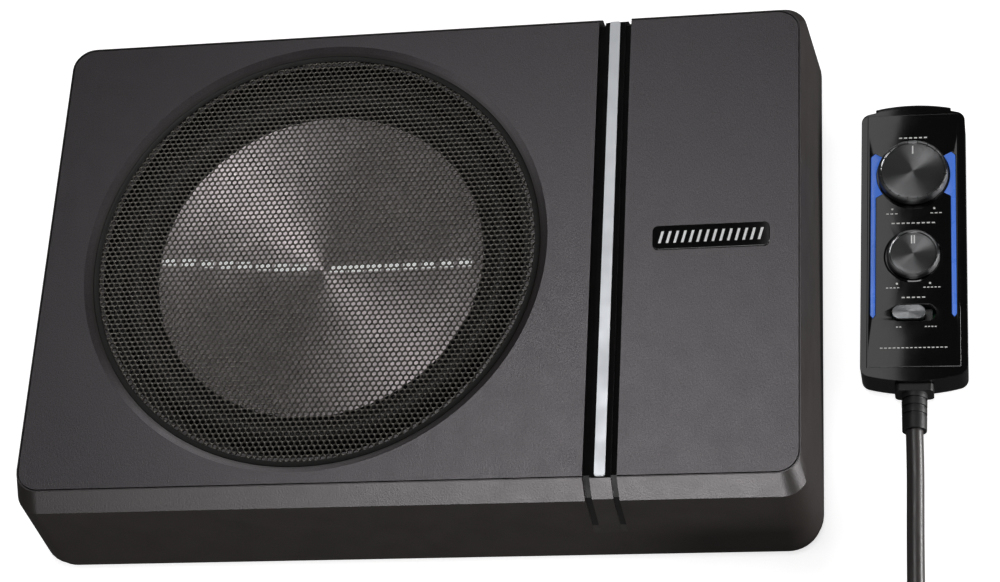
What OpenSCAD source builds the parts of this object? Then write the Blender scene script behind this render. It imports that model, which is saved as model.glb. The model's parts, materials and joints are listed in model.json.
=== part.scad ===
// Powered car subwoofer with a wired remote control.
// Frame: +X along the long side, +Y towards the connector side, +Z up.
// The origin is the centre of the enclosure's flat underside.

/* [Enclosure] */
// Width of the enclosure along X, at the foot of its walls
case_w = 350; // [345:1:380]
// Depth of the enclosure along Y, at the foot of its walls
case_d = 248; // [246:1:270]
// Height of the enclosure from the floor to the top panels
case_h = 60; // [60:1:70]
// Thickness of the side walls
wall = 3.5; // [3:0.5:4]
// Height of the bevelled shoulder under the top panels
shoulder_h = 10; // [8:0.5:12]
// How far each end wall leans in between its foot and the shoulder
lean_x = 3; // [2:0.5:5]
// How far the front and back walls lean in between foot and shoulder
lean_y = 6.3; // [4:0.1:7]
// Width of the shoulder bevel at the two ends
bevel_x = 2.1; // [2:0.1:6]
// Width of the shoulder bevel at the front and back
bevel_y = 6.3; // [4:0.1:7]
// Thickness of the textured top panels
panel_t = 1.8; // [1.5:0.1:2.2]

/* [Trim] */
// Centre of the groove that runs front to back across the top
groove_x = 86.5; // [82:0.5:92]
// Width of the groove
groove_w = 14.6; // [12:0.2:16]
// Depth of the groove below the top panels
groove_depth = 2.5; // [2.2:0.1:2.8]
// Width of the bright strip in the groove
strip_w = 4.6; // [4:0.1:6]
// Length of the name plate
badge_w = 50.5; // [40:0.5:60]
// Depth of the name plate
badge_d = 11.5; // [8:0.5:14]

/* [Driver] */
// Place of the loudspeaker's axis along X
driver_x = -45.5; // [-48:0.5:-45]
// Radius of the grille opening at the top panel
opening_r = 105.5; // [104:0.5:106]
// Radius of the cone's metal disc
cone_r = 75.5; // [72:0.5:76]
// Radius of the magnet
magnet_r = 52; // [46:1:56]
// Radius of the voice coil's former
former_r = 24.8; // [24:0.1:26]

/* [Remote control] */
// Width of the remote
remote_w = 46; // [44:1:50]
// Length of the remote's two shells
remote_l = 135; // [130:1:145]
// Height of the remote's two shells
remote_h = 15; // [14:0.5:18]
// Diameter of the volume knob
volume_d = 31; // [28:0.5:31.5]
// Diameter of the frequency knob
frequency_d = 23.2; // [20:0.2:24]
// Turn of the remote on the floor, in degrees
remote_yaw = -1; // [-5:0.5:5]

/* [Cord] */
// Diameter of the remote's cord
cord_d = 7.5; // [7:0.1:7.5]
// Turns side by side in the coil
coil_columns = 4; // [3:1:4]
// Layers of turns in the coil
coil_layers = 4; // [3:1:4]

/* [Hidden] */
$fn = 72;
hull_fn = 32;
through = 1;

// Enclosure levels and outlines
base_t = 3.4;
case_z = 5;
shoulder_z = case_h - shoulder_h;
deck_top = case_h - panel_t;
deck_t = 3;
deck_z = deck_top - deck_t;
shoulder_w = case_w - 2 * lean_x;
shoulder_d = case_d - 2 * lean_y;
top_w = shoulder_w - 2 * bevel_x;
top_d = shoulder_d - 2 * bevel_y;
foot_r = 15.5;
shoulder_r = 10.5;
top_r = 10.5;
rim_w = 0.5;
shut_gap = 0.5;
base_inset = 1.2;

// Closing screws, one per post
post_r = 4.5;
pilot_r = 1.7;
screw_r = 1.65;
post_x = 158;
post_y = 107;
mid_x = 45;
end_x = 162;
POSTS = [
    [post_x, post_y], [-post_x, post_y], [post_x, -post_y], [-post_x, -post_y],
    [mid_x, post_y], [mid_x, -post_y], [end_x, 0], [-end_x, 0]
];

// Threaded inserts for the mounting brackets
insert_x = 142;
insert_y = 88;
insert_r = 4;
insert_hole_r = 2.1;
insert_h = 7;
insert_boss_r = 6.5;

// Levels of the loudspeaker, from the baffle down
grille_t = 0.8;
grille_z = case_h - 3 - grille_t;
grille_r = opening_r - 4.2;
baffle_z = 47;
baffle_inner_r = 97.5;
flange_r = 104;
flange_in = 92.8;
gasket_t = 1;
lip_t = 0.8;
flange_t = 1.5;
lip_top = baffle_z - gasket_t;
flange_top = lip_top - lip_t;
driver_screw_r = 1.45;
driver_screw_ring = 100;
driver_screws_n = 8;
disc_t = 0.8;
disc_rim_z = 46.6;
disc_dish = 7.6;
roll_r = 8;
roll_inner_r = cone_r + 0.5;
roll_mid_r = roll_inner_r + roll_r;
spider_z = 34;
spider_t = 0.8;
spider_r = 65;
yoke_z = 6.5;
yoke_t = 5;
magnet_t = 11;
plate_t = 4.5;
magnet_z = yoke_z + yoke_t;
plate_z = magnet_z + magnet_t;
plate_top = plate_z + plate_t;
pole_r = 23.5;
gap_r = 26.6;
vent_r = 6;
former_t = 0.5;
winding_t = 0.9;

// Amplifier board
board_x0 = 68;
board_x1 = 155;
board_y0 = -98;
board_y1 = 103;
board_z = 12;
board_t = 1.6;
board_top = board_z + board_t;
standoff_r = 3.2;
board_holes = [
    [board_x0 + 5, board_y0 + 5], [board_x1 - 5, board_y0 + 5],
    [board_x0 + 5, 60], [board_x1 - 5, 60]
];

// Connector bay in the back wall
bay_x0 = 58.5;
bay_x1 = 148.5;
bay_z0 = 13;
bay_z1 = 43;
bay_frame = 3.5;
bay_lip = 4.5;
bay_y = 110;
bay_depth = 6;
bay_panel_t = 2.5;
bay_gap = 0.3;
jack_back = 94;
jack_z = 28;
rca_x = [71, 84.5];
rca_barrel_r = 4.15;
rca_pin_r = 1.65;
rca_reach = 9;

// Remote, in its own frame: its centre on the floor, length along Y
split_z = 8.5;
remote_wall = 2;
face_t = 1.4;
face_proud = 0.2;
face_w = 40.4;
face_top = remote_h + face_proud;
end_arc_r = 77;
corner_r = 4.5;
volume_y = 33.2;
frequency_y = -7.5;
phase_y = -35.1;
phase_travel = 4;
thumb_l = 14.2;
thumb_w = 6.4;
slot_l = thumb_l + phase_travel + 1.2;
slot_w = 8;
shaft_r = 3;
shaft_grip = 1.6;
knob_gap = 0.4;
volume_h = 4;
frequency_h = 3.2;
shaft_hole_r = 3.6;
bushing_clear = 0.05;
guide_x = 17.6;
guide_w = 2.2;
guide_reach = 11.1;
guide_end = -37.5;
guide_slant = 1.6;
guide_wide_x = 11;
collar_l = 3.4;
collar_w = 16.7;
collar_h = 10.5;
boot_l = 17;
boot_r = 5.6;
boot_z = 7.5;
boot_end = remote_l / 2 + collar_l + boot_l;
remote_posts = [[-15, 55], [15, 55], [-15, -55], [15, -55]];
remote_board_z = 5;
remote_board_t = 1.2;

// The cord: where it leaves the boot, its run over the floor, its coil and its tail
cord_exit = [214, -72];
CORD_RUN = [
    [214, -72, 7.5], [214, -80, 7.3], [214, -90, 6.3], [213.7, -102, 4.9],
    [213.4, -114, 4.1], [213.2, -128, 3.9], [213, -144, 3.9], [213, -160, 3.9],
    [213, -176, 3.9], [213, -192, 4.4], [213, -203, 4.6]
];
CORD_TAIL = [
    [202, -237, 34.7], [197, -249, 34.7], [189, -259, 34.7], [178, -267, 34.7],
    [169, -270.5, 34.8], [162, -271, 35]
];
cord_sides = 10;
coil_x = 157;
coil_y = -226;
tie_t = 0.8;
tie_w = 12;
tie_clear = 0.3;
coil_mid_r = 45;
coil_band = coil_columns * cord_d;
coil_height = coil_layers * cord_d;
coil_z = tie_t;
plug_x = 162;
plug_y = -271;
plug_z = 35;
plug_boot_l = 12;
plug_l = 21.5;
plug_w = 11.7;
plug_h = 8;

// ---- outlines and small shapes ----

function mix(a, b, t) = a + (b - a) * t;
function wall_part(z) = (z - case_z) / (shoulder_z - case_z);
function bevel_part(z) = (z - shoulder_z) / shoulder_h;
function outline_w(z) = z < shoulder_z
    ? mix(case_w, shoulder_w, wall_part(z)) : mix(shoulder_w, top_w, bevel_part(z));
function outline_d(z) = z < shoulder_z
    ? mix(case_d, shoulder_d, wall_part(z)) : mix(shoulder_d, top_d, bevel_part(z));
function outline_r(z) = z < shoulder_z
    ? mix(foot_r, shoulder_r, wall_part(z)) : mix(shoulder_r, top_r, bevel_part(z));

// A plate with true round corners, centred on Z
module rounded_plate(w, d, r, h) {
    translate([-w / 2 + r, -d / 2, 0]) cube([w - 2 * r, d, h]);
    translate([-w / 2, -d / 2 + r, 0]) cube([w, d - 2 * r, h]);
    for (x = [-1, 1], y = [-1, 1])
        translate([x * (w / 2 - r), y * (d / 2 - r), 0]) cylinder(r = r, h = h);
}

// A flat ring
module ring(inner_r, outer_r, h) {
    difference() {
        cylinder(r = outer_r, h = h);
        translate([0, 0, -through]) cylinder(r = inner_r, h = h + 2 * through);
    }
}

// A box given by its two corners
module span(low, high) {
    translate(low) cube(high - low);
}

// The leaning outline of the enclosure between two levels, drawn in by an inset
module case_envelope(inset, low, high) {
    slab = 0.02;
    hull() {
        for (z = [low, shoulder_z, high - slab])
            translate([0, 0, z])
                rounded_plate(
                    outline_w(z) - 2 * inset, outline_d(z) - 2 * inset,
                    outline_r(z) - inset, slab, $fn = hull_fn);
    }
}

// Repeats a child round the loudspeaker's axis
module around_driver(count, radius, start = 0) {
    for (i = [0 : count - 1])
        translate([driver_x, 0, 0]) rotate(start + i * 360 / count)
            translate([radius, 0, 0]) children();
}

// A screw that points up: a round head with a driving recess, and a plain shank
module screw_up(head_r, head_h, shank_r, shank_l) {
    difference() {
        cylinder(r = head_r, h = head_h);
        translate([0, 0, -through])
            cylinder(r = head_r / 2, h = through + head_h / 2, $fn = 6);
    }
    translate([0, 0, head_h]) cylinder(r = shank_r, h = shank_l);
}

// A round bar between two points
module bar(a, b, r) {
    v = b - a;
    translate(a) rotate([0, acos(v[2] / norm(v)), atan2(v[1], v[0])])
        cylinder(r = r, h = norm(v), $fn = 24);
}

// Puts a child of the remote where the remote lies
module at_remote() {
    translate([cord_exit[0], cord_exit[1], 0]) rotate(remote_yaw)
        translate([0, boot_end, 0]) children();
}

// ---- enclosure ----

// Region outside a line that runs a given depth inside the deck and the bevel, and fades out on the wall
module groove_side_view(depth) {
    bevel_l = norm([bevel_y, shoulder_h]);
    in_y = depth * shoulder_h / bevel_l;
    in_z = depth * bevel_y / bevel_l;
    fade_z = 24;
    far = case_d;
    polygon([
        [0, case_h - depth], [top_d / 2 - in_y, case_h - depth],
        [shoulder_d / 2 - in_y, shoulder_z - in_z], [outline_d(fade_z) / 2, fade_z],
        [far, fade_z], [far, 2 * case_h], [0, 2 * case_h]
    ]);
}

// One straight channel of the groove, from front to back
module channel(x, width, depth) {
    for (turn = [0, 180])
        translate([x, 0, 0]) rotate(turn) translate([-width / 2, 0, 0])
            rotate([90, 0, 90]) linear_extrude(width) groove_side_view(depth);
}

// The slot between the top panels and down both bevels: two deep channels beside a raised rib
module groove_cut() {
    rib_w = 9;
    side_w = (groove_w - rib_w) / 2;
    channel(groove_x, rib_w + 0.02, 1.2);
    for (side = [-1, 1])
        channel(groove_x + side * (rib_w + side_w) / 2, side_w, groove_depth);
}

// The moulded upper case: deck, leaning walls, baffle ring, screw posts and connector bay
module upper_case() {
    color([0.2, 0.19, 0.19])
    difference() {
        union() {
            difference() {
                case_envelope(0, case_z, case_h);
                case_envelope(wall, case_z - through, deck_z);
            }
            translate([driver_x, 0, baffle_z]) cylinder(r = flange_r + 0.5, h = deck_z + 0.5 - baffle_z);
            for (p = POSTS)
                translate([p[0], p[1], case_z]) cylinder(r = post_r, h = deck_z + 0.5 - case_z);
            intersection() {
                span([bay_x0 - bay_frame, bay_y - bay_depth, bay_z0 - bay_frame],
                     [bay_x1 + bay_frame, case_d / 2, bay_z1 + bay_frame]);
                case_envelope(0.5, case_z, case_h);
            }
        }
        translate([0, 0, deck_top])
            rounded_plate(top_w - 2 * rim_w, top_d - 2 * rim_w, top_r - rim_w, panel_t + through);
        groove_cut();
        translate([driver_x, 0, 0]) {
            translate([0, 0, baffle_z - through]) cylinder(r = baffle_inner_r, h = case_h);
            translate([0, 0, grille_z]) cylinder(r = grille_r + 0.2, h = case_h);
            translate([0, 0, grille_z + grille_t])
                cylinder(r1 = grille_r + 0.2, r2 = opening_r, h = case_h - grille_z - grille_t);
        }
        around_driver(driver_screws_n, driver_screw_ring, 22.5)
            translate([0, 0, baffle_z - through]) cylinder(r = driver_screw_r + 0.05, h = 8, $fn = 24);
        for (p = POSTS)
            translate([p[0], p[1], case_z - through]) cylinder(r = pilot_r, h = 15 + through, $fn = 24);
        span([bay_x0, bay_y, bay_z0], [bay_x1, case_d, bay_z1]);
        span([bay_x0 + bay_lip, bay_y - bay_depth - through, bay_z0 + bay_lip],
             [bay_x1 - bay_lip, case_d, bay_z1 - bay_lip]);
        panel_screw_places() cylinder(r = 1.25, h = bay_depth, $fn = 24);
    }
}

// The outline that both top panels are cut from
module panel_blank() {
    inset = rim_w + shut_gap;
    translate([0, 0, deck_top])
        rounded_plate(top_w - 2 * inset, top_d - 2 * inset, top_r - inset, panel_t);
}

// The textured panel that carries the grille opening
module speaker_panel() {
    color([0.27, 0.25, 0.26])
    difference() {
        panel_blank();
        span([groove_x - groove_w / 2, -case_d, 0], [case_w, case_d, case_h + through]);
        translate([driver_x, 0, grille_z + grille_t])
            cylinder(r1 = grille_r + 0.2, r2 = opening_r, h = case_h - grille_z - grille_t);
        translate([driver_x, 0, case_h - 0.01]) cylinder(r = opening_r, h = through);
    }
}

// The textured panel beside the groove, with a shallow seat for the name plate
module side_panel() {
    color([0.3, 0.29, 0.3])
    difference() {
        panel_blank();
        span([-case_w, -case_d, 0], [groove_x + groove_w / 2, case_d, case_h + through]);
        badge_outline(0.1, case_h - 0.5, 2);
    }
}

// Outline of the name plate, midway between the groove and the end wall
module badge_outline(grow, z, h) {
    badge_x = (groove_x + groove_w / 2 + top_w / 2 - 1) / 2;
    translate([badge_x, -0.8, z])
        rounded_plate(badge_w + 2 * grow, badge_d + 2 * grow, 2.5, h);
}

module badge_plate() {
    color([0.06, 0.06, 0.07]) badge_outline(0, case_h - 0.5, 1.3);
}

// The bright strip on the groove's rib
module trim_strip() {
    strip_l = top_d - 2 * rim_w - 1;
    color([0.85, 0.86, 0.88])
        translate([groove_x, 0, case_h - 1.2]) rounded_plate(strip_w, strip_l, 1, 1.1);
}

// The sheet that closes the opening: a plain disc of the pierced sheet's size
module grille() {
    color([0.12, 0.12, 0.12])
        translate([driver_x, 0, grille_z]) cylinder(r = grille_r, h = grille_t);
}

module base_plate() {
    color([0.1, 0.1, 0.1])
    difference() {
        union() {
            rounded_plate(case_w - 2 * base_inset, case_d - 2 * base_inset, foot_r - base_inset, base_t);
            for (p = POSTS)
                translate([p[0], p[1], 0]) cylinder(r = post_r, h = case_z);
            for (x = [-1, 1], y = [-1, 1])
                translate([x * insert_x, y * insert_y, 0]) cylinder(r = insert_boss_r, h = insert_h + 1);
            for (p = board_holes)
                translate([p[0], p[1], 0]) cylinder(r = standoff_r, h = board_z);
        }
        for (p = POSTS)
            translate([p[0], p[1], -through]) {
                cylinder(r = 3.5, h = 2.2 + through, $fn = 32);
                cylinder(r = pilot_r + 0.2, h = 10, $fn = 24);
            }
        for (x = [-1, 1], y = [-1, 1])
            translate([x * insert_x, y * insert_y, -through])
                cylinder(r = insert_r, h = insert_h + through);
        for (p = board_holes)
            translate([p[0], p[1], base_t]) cylinder(r = 1.3, h = board_z, $fn = 24);
    }
}

// Foam seal between the base plate and the foot of the walls
module case_gasket() {
    seal_w = wall - base_inset;
    color([0.05, 0.05, 0.05])
    translate([0, 0, base_t])
    difference() {
        rounded_plate(case_w - 2 * base_inset, case_d - 2 * base_inset, foot_r - base_inset, case_z - base_t);
        translate([0, 0, -through])
            rounded_plate(
                case_w - 2 * base_inset - 2 * seal_w, case_d - 2 * base_inset - 2 * seal_w,
                foot_r - base_inset - seal_w, case_z);
    }
}

module case_screws() {
    color([0.3, 0.3, 0.32])
    for (p = POSTS)
        translate([p[0], p[1], 0.3]) screw_up(3.2, 1.8, screw_r, 15);
}

// Brass inserts that take the mounting bracket's M5 screws
module mount_inserts() {
    color([0.75, 0.6, 0.3])
    for (x = [-1, 1], y = [-1, 1])
        translate([x * insert_x, y * insert_y, 0]) ring(insert_hole_r, insert_r, insert_h);
}

// ---- loudspeaker ----

module driver_gasket() {
    color([0.08, 0.08, 0.08])
    difference() {
        translate([driver_x, 0, lip_top]) ring(96, flange_r, gasket_t);
        around_driver(driver_screws_n, driver_screw_ring, 22.5)
            translate([0, 0, lip_top - through]) cylinder(r = 1.7, h = 3, $fn = 24);
    }
}

// Pressed basket: seat for the magnet, ledge for the spider, windows and mounting flange
module driver_basket() {
    low = flange_top - flange_t;
    color([0.15, 0.15, 0.16])
    difference() {
        translate([driver_x, 0, 0]) rotate_extrude()
            polygon([
                [28, plate_top], [59.5, plate_top], [62.5, spider_z - flange_t], [68, spider_z - flange_t],
                [flange_in + 0.7, low], [flange_r, low], [flange_r, flange_top], [flange_in, flange_top],
                [67.5, spider_z], [61.5, spider_z], [58.5, plate_top + flange_t], [28, plate_top + flange_t]
            ]);
        around_driver(6, 79.5) translate([0, 0, 38]) cube([17, 38, 16], center = true);
        around_driver(driver_screws_n, driver_screw_ring, 22.5)
            translate([0, 0, low - through]) cylinder(r = 1.7, h = 4, $fn = 24);
    }
}

// Rubber surround: inner lip, half roll and outer lip
module surround() {
    color([0.05, 0.05, 0.05])
    difference() {
        translate([driver_x, 0, 0]) rotate_extrude() {
            translate([roll_inner_r - 5, flange_top - 0.2]) square([5.4, lip_t]);
            difference() {
                translate([roll_mid_r, flange_top - 0.2]) circle(r = roll_r);
                translate([roll_mid_r, flange_top - 0.2]) circle(r = roll_r - lip_t);
                translate([0, flange_top - 0.2 - 2 * roll_r]) square([flange_r, 2 * roll_r]);
            }
            translate([roll_mid_r + roll_r - 0.4, flange_top])
                square([flange_r - roll_mid_r - roll_r + 0.4, lip_t]);
        }
        around_driver(driver_screws_n, driver_screw_ring, 22.5)
            translate([0, 0, flange_top - through]) cylinder(r = 1.7, h = 4, $fn = 24);
    }
}

// Shallow metal cone that closes over the voice coil
module cone() {
    color([0.75, 0.75, 0.76])
    translate([driver_x, 0, disc_rim_z - disc_dish]) rotate_extrude()
        polygon([[0, 0], [former_r, 1.6], [cone_r, disc_dish], [cone_r, disc_dish + disc_t],
                 [former_r, 1.6 + disc_t], [0, disc_t]]);
}

// Corrugated spider between the former and the basket's ledge
module spider() {
    waves = 5;
    step = (spider_r - 6 - former_r - 3) / waves;
    color([0.7, 0.55, 0.3])
    translate([driver_x, 0, spider_z]) {
        ring(former_r + 0.05, former_r + 3, spider_t);
        for (i = [0 : waves - 1])
            ring(former_r + 3 + i * step, former_r + 3 + (i + 1) * step, spider_t * (i % 2 == 0 ? 1.6 : 1));
        ring(spider_r - 6, spider_r, spider_t);
    }
}

module coil_former() {
    bottom = 17.5;
    color([0.7, 0.6, 0.4])
    translate([driver_x, 0, bottom])
        ring(former_r - former_t, former_r, disc_rim_z - disc_dish + 1.5 - bottom);
}

module coil_winding() {
    color([0.8, 0.45, 0.2])
    translate([driver_x, 0, 18.5]) ring(former_r + 0.02, former_r + winding_t, 12.5);
}

module top_plate() {
    color([0.5, 0.5, 0.52]) translate([driver_x, 0, plate_z]) ring(gap_r, magnet_r - 2, plate_t);
}

module magnet() {
    color([0.2, 0.2, 0.22]) translate([driver_x, 0, magnet_z]) ring(31, magnet_r, magnet_t);
}

// Back plate and vented pole in one turning
module pole_yoke() {
    color([0.5, 0.5, 0.52])
    translate([driver_x, 0, yoke_z])
    difference() {
        union() {
            cylinder(r = magnet_r - 2, h = yoke_t);
            cylinder(r = pole_r, h = plate_top - yoke_z);
        }
        translate([0, 0, -through]) cylinder(r = vent_r, h = case_h);
    }
}

// Terminal block under the basket's flange
module terminal_strip() {
    low = flange_top - flange_t;
    color([0.5, 0.35, 0.2])
        span([driver_x + 95, -11, low - 6], [driver_x + 103, 11, low]);
    color([0.8, 0.7, 0.4])
    for (y = [-5, 5])
        span([driver_x + 103, y - 2.4, low - 4.5], [driver_x + 108, y + 2.4, low - 3.7]);
}

// Flexible leads from the terminal block to the coil former
module tinsel_leads() {
    color([0.8, 0.5, 0.3])
    for (y = [-6, 6])
        bar([driver_x + 95, y, 40.6], [driver_x + 26.6, y / 3, 36.1], 0.5);
}

module driver_screws() {
    head_h = 2;
    low = flange_top - flange_t;
    color([0.3, 0.3, 0.32])
    around_driver(driver_screws_n, driver_screw_ring, 22.5)
        translate([0, 0, low - head_h]) screw_up(2.8, head_h, driver_screw_r, 10);
}

// Wires from the amplifier board's edge to the terminal block
module speaker_leads() {
    tag_x = driver_x + 108.2;
    bend_x = tag_x + 3.5;
    tag_z = flange_top - flange_t - 4.1;
    entry_z = board_top + 4;
    wire_r = 1.1;
    color([0.7, 0.1, 0.1])
    for (y = [-5, 5]) {
        bar([tag_x, y, tag_z], [bend_x, y, tag_z], wire_r);
        translate([bend_x, y, tag_z]) sphere(r = wire_r, $fn = 24);
        bar([bend_x, y, tag_z], [bend_x, y, entry_z], wire_r);
        translate([bend_x, y, entry_z]) sphere(r = wire_r, $fn = 24);
        bar([bend_x, y, entry_z], [board_x0 + 3.9, y, entry_z], wire_r);
    }
}

// ---- amplifier ----

module amp_board() {
    color([0.1, 0.35, 0.15])
    difference() {
        span([board_x0, board_y0, board_z], [board_x1, board_y1, board_top]);
        for (p = board_holes)
            translate([p[0], p[1], board_z - through]) cylinder(r = 1.7, h = 5, $fn = 24);
    }
}

module board_screws() {
    color([0.6, 0.6, 0.62])
    for (p = board_holes)
        translate([p[0], p[1], board_top + 2]) rotate([180, 0, 0]) screw_up(2.8, 2, 1.25, 7);
}

// Finned heat sink that stands on the board
module heat_sink() {
    back_x = 121;
    fins = 8;
    fin_pitch = 12;
    color([0.65, 0.66, 0.68]) {
        span([back_x, -94, board_top], [back_x + 4, -94 + fins * fin_pitch, 47]);
        for (i = [0 : fins - 1])
            span([back_x + 4, -92 + i * fin_pitch, board_top + 2],
                 [back_x + 27, -90 + i * fin_pitch, 47]);
    }
}

// Four output transistors clamped to the heat sink
module power_transistors() {
    back_x = 121;
    color([0.08, 0.08, 0.08])
    for (i = [0 : 3])
        translate([back_x, -80 + i * 22, 0]) {
            span([-4.5, -5, board_top + 5], [0, 5, board_top + 21]);
            for (y = [-2.5, 0, 2.5])
                span([-3, y - 0.5, board_top], [-2.2, y + 0.5, board_top + 5]);
        }
}

module capacitors() {
    can_r = 9;
    can_h = 30;
    color([0.1, 0.1, 0.3])
    for (i = [0 : 3])
        translate([100, -78 + i * 21, board_top]) {
            cylinder(r = can_r, h = can_h);
            translate([0, 0, can_h]) cylinder(r1 = can_r, r2 = can_r - 1, h = 1);
        }
}

module toroid_coil() {
    color([0.75, 0.4, 0.15])
    translate([94, 28, board_top + 8]) rotate_extrude() translate([15, 0]) circle(r = 8);
}

module filter_inductors() {
    color([0.25, 0.25, 0.27])
    for (y = [14, 38])
        translate([136, y, board_top]) {
            cylinder(r = 9, h = 2);
            cylinder(r = 7, h = 14);
            translate([0, 0, 14]) cylinder(r = 9, h = 2);
        }
}

module control_chips() {
    color([0.06, 0.06, 0.06]) {
        for (x = [80, 100, 120])
            span([x - 5, 62, board_top], [x + 5, 76, board_top + 2.4]);
        span([board_x0 + 4, -9, board_top], [board_x0 + 12, 9, board_top + 8]);
    }
}

// ---- connector side ----

// The four screw places of the connector panel, pointing into the bay
module panel_screw_places() {
    edge = bay_lip / 2;
    for (x = [bay_x0 + edge, bay_x1 - edge], z = [bay_z0 + edge, bay_z1 - edge])
        translate([x, bay_y - bay_depth, z]) rotate([-90, 0, 0]) children();
}

// Recessed panel that carries the sockets
module connector_panel() {
    color([0.1, 0.1, 0.1])
    difference() {
        span([bay_x0 + bay_gap, bay_y, bay_z0 + bay_gap],
             [bay_x1 - bay_gap, bay_y + bay_panel_t, bay_z1 - bay_gap]);
        for (x = rca_x)
            translate([x, bay_y - through, jack_z]) rotate([-90, 0, 0])
                cylinder(r = rca_barrel_r + 0.25, h = 5);
        span([92.3, bay_y - through, 20.8], [106.7, case_d, 35.2]);
        span([107.8, bay_y - through, 20.8], [122.2, case_d, 35.2]);
        span([123.5, bay_y - through, 18.8], [143.2, case_d, 27.2]);
        span([123.5, bay_y - through, 29.3], [143.2, case_d, 37.2]);
        panel_screw_places() translate([0, 0, bay_depth - through]) cylinder(r = 1.35, h = 5, $fn = 24);
    }
}

module panel_screws() {
    color([0.3, 0.3, 0.32])
    panel_screw_places() translate([0, 0, bay_depth + bay_panel_t + 1.5]) rotate([180, 0, 0])
        screw_up(2, 1.5, 1.15, 7.5);
}

// Two signal sockets: block on the board, threaded collar, barrel with its pin bore
module rca_jacks() {
    color([0.85, 0.7, 0.35])
    for (x = rca_x)
        difference() {
            union() {
                span([x - 6, jack_back, board_top], [x + 6, 103, 36]);
                span([x - 6, 103, 18], [x + 6, bay_y, 36]);
                translate([x, bay_y, jack_z]) rotate([-90, 0, 0])
                    cylinder(r = rca_barrel_r, h = bay_panel_t + rca_reach);
            }
            translate([x, bay_y + bay_panel_t, jack_z]) rotate([-90, 0, 0])
                cylinder(r = rca_pin_r, h = case_d);
        }
}

// A block that stands on the board and shows a hollow at the panel
module socket_block(x0, x1, z0, z1, rim, reach, depth) {
    difference() {
        union() {
            span([x0, jack_back, board_top], [x1, 103, z1]);
            span([x0, 103, z0], [x1, bay_y + bay_panel_t + reach, z1]);
        }
        span([x0 + rim, bay_y + bay_panel_t + reach - depth, z0 + rim], [x1 - rim, case_d, z1 - rim]);
    }
}

module speaker_socket() {
    color([0.9, 0.9, 0.85]) socket_block(92.5, 106.5, 21, 35, 1.4, 1, 10);
}

// Socket for the remote's plug
module remote_jack() {
    color([0.12, 0.12, 0.13]) socket_block(108, 122, 21, 35, 1.1, 0.6, 14);
}

// Screw terminals for the battery, ground and switching wires
module power_terminal() {
    wire_slots = [127, 133.35, 139.7];
    color([0.1, 0.1, 0.1])
    difference() {
        union() {
            span([123.7, jack_back, board_top], [143, 103, 27]);
            span([123.7, 103, 19], [143, bay_y + bay_panel_t + 3, 27]);
        }
        for (x = wire_slots)
            span([x - 2.1, bay_y - 2, 20.6], [x + 2.1, case_d, 25.4]);
    }
}

// Blade fuse in its holder
module fuse() {
    color([0.9, 0.5, 0.1]) {
        span([125, 106, 30.5], [141.7, bay_y + bay_panel_t + 4, 36]);
        for (x = [127.5, 137])
            span([x, 98, 31.5], [x + 2.2, 106, 35]);
    }
}

// ---- remote control ----

// Plan of the remote's body: straight sides, bowed ends and corners rounded into both
module remote_outline(inset) {
    corner_x = remote_w / 2 - corner_r;
    reach = end_arc_r - corner_r;
    corner_y = remote_l / 2 - end_arc_r + sqrt(reach * reach - corner_x * corner_x);
    bow_r = end_arc_r - inset;
    square([remote_w - 2 * inset, 2 * corner_y], center = true);
    for (x = [-1, 1], y = [-1, 1])
        translate([x * corner_x, y * corner_y]) circle(r = corner_r - inset);
    intersection() {
        square([2 * corner_x * bow_r / reach, remote_l], center = true);
        translate([0, remote_l / 2 - end_arc_r]) circle(r = bow_r, $fn = 180);
        translate([0, end_arc_r - remote_l / 2]) circle(r = bow_r, $fn = 180);
    }
}

module slot_outline(length, width) {
    square([length - width, width], center = true);
    for (end = [-1, 1])
        translate([end * (length - width) / 2, 0]) circle(d = width);
}

// Plan of one lit guide: a strip with slanted ends that widens up to the volume knob's rim
module guide_outline(side) {
    outer = guide_x + guide_w / 2;
    inner = outer - guide_w;
    high = volume_y + guide_reach;
    low = volume_y - guide_reach;
    outline = [
        [outer, guide_end + guide_slant], [outer, high - guide_slant], [outer - guide_slant, high],
        [inner, high], [guide_wide_x, high - 2 * guide_slant], [guide_wide_x, low + 2 * guide_slant],
        [inner, low], [inner, guide_end + guide_slant], [(inner + outer) / 2, guide_end]
    ];
    difference() {
        polygon([for (p = outline) [side * p[0], p[1]]]);
        translate([0, volume_y]) circle(r = volume_d / 2 + 0.8);
    }
}

module remote_base() {
    color([0.05, 0.05, 0.05])
    at_remote()
    difference() {
        union() {
            difference() {
                linear_extrude(split_z) remote_outline(0);
                translate([0, 0, remote_wall]) linear_extrude(split_z) remote_outline(remote_wall);
            }
            for (p = remote_posts)
                translate([p[0], p[1], 1]) cylinder(r = 2.8, h = split_z - 1, $fn = 32);
        }
        for (p = remote_posts)
            translate([p[0], p[1], -through]) {
                cylinder(r = 1.6, h = split_z + 2 * through, $fn = 24);
                cylinder(r = 2.5, h = 2 + through, $fn = 24);
            }
        boot_neck(0.1);
    }
}

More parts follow.
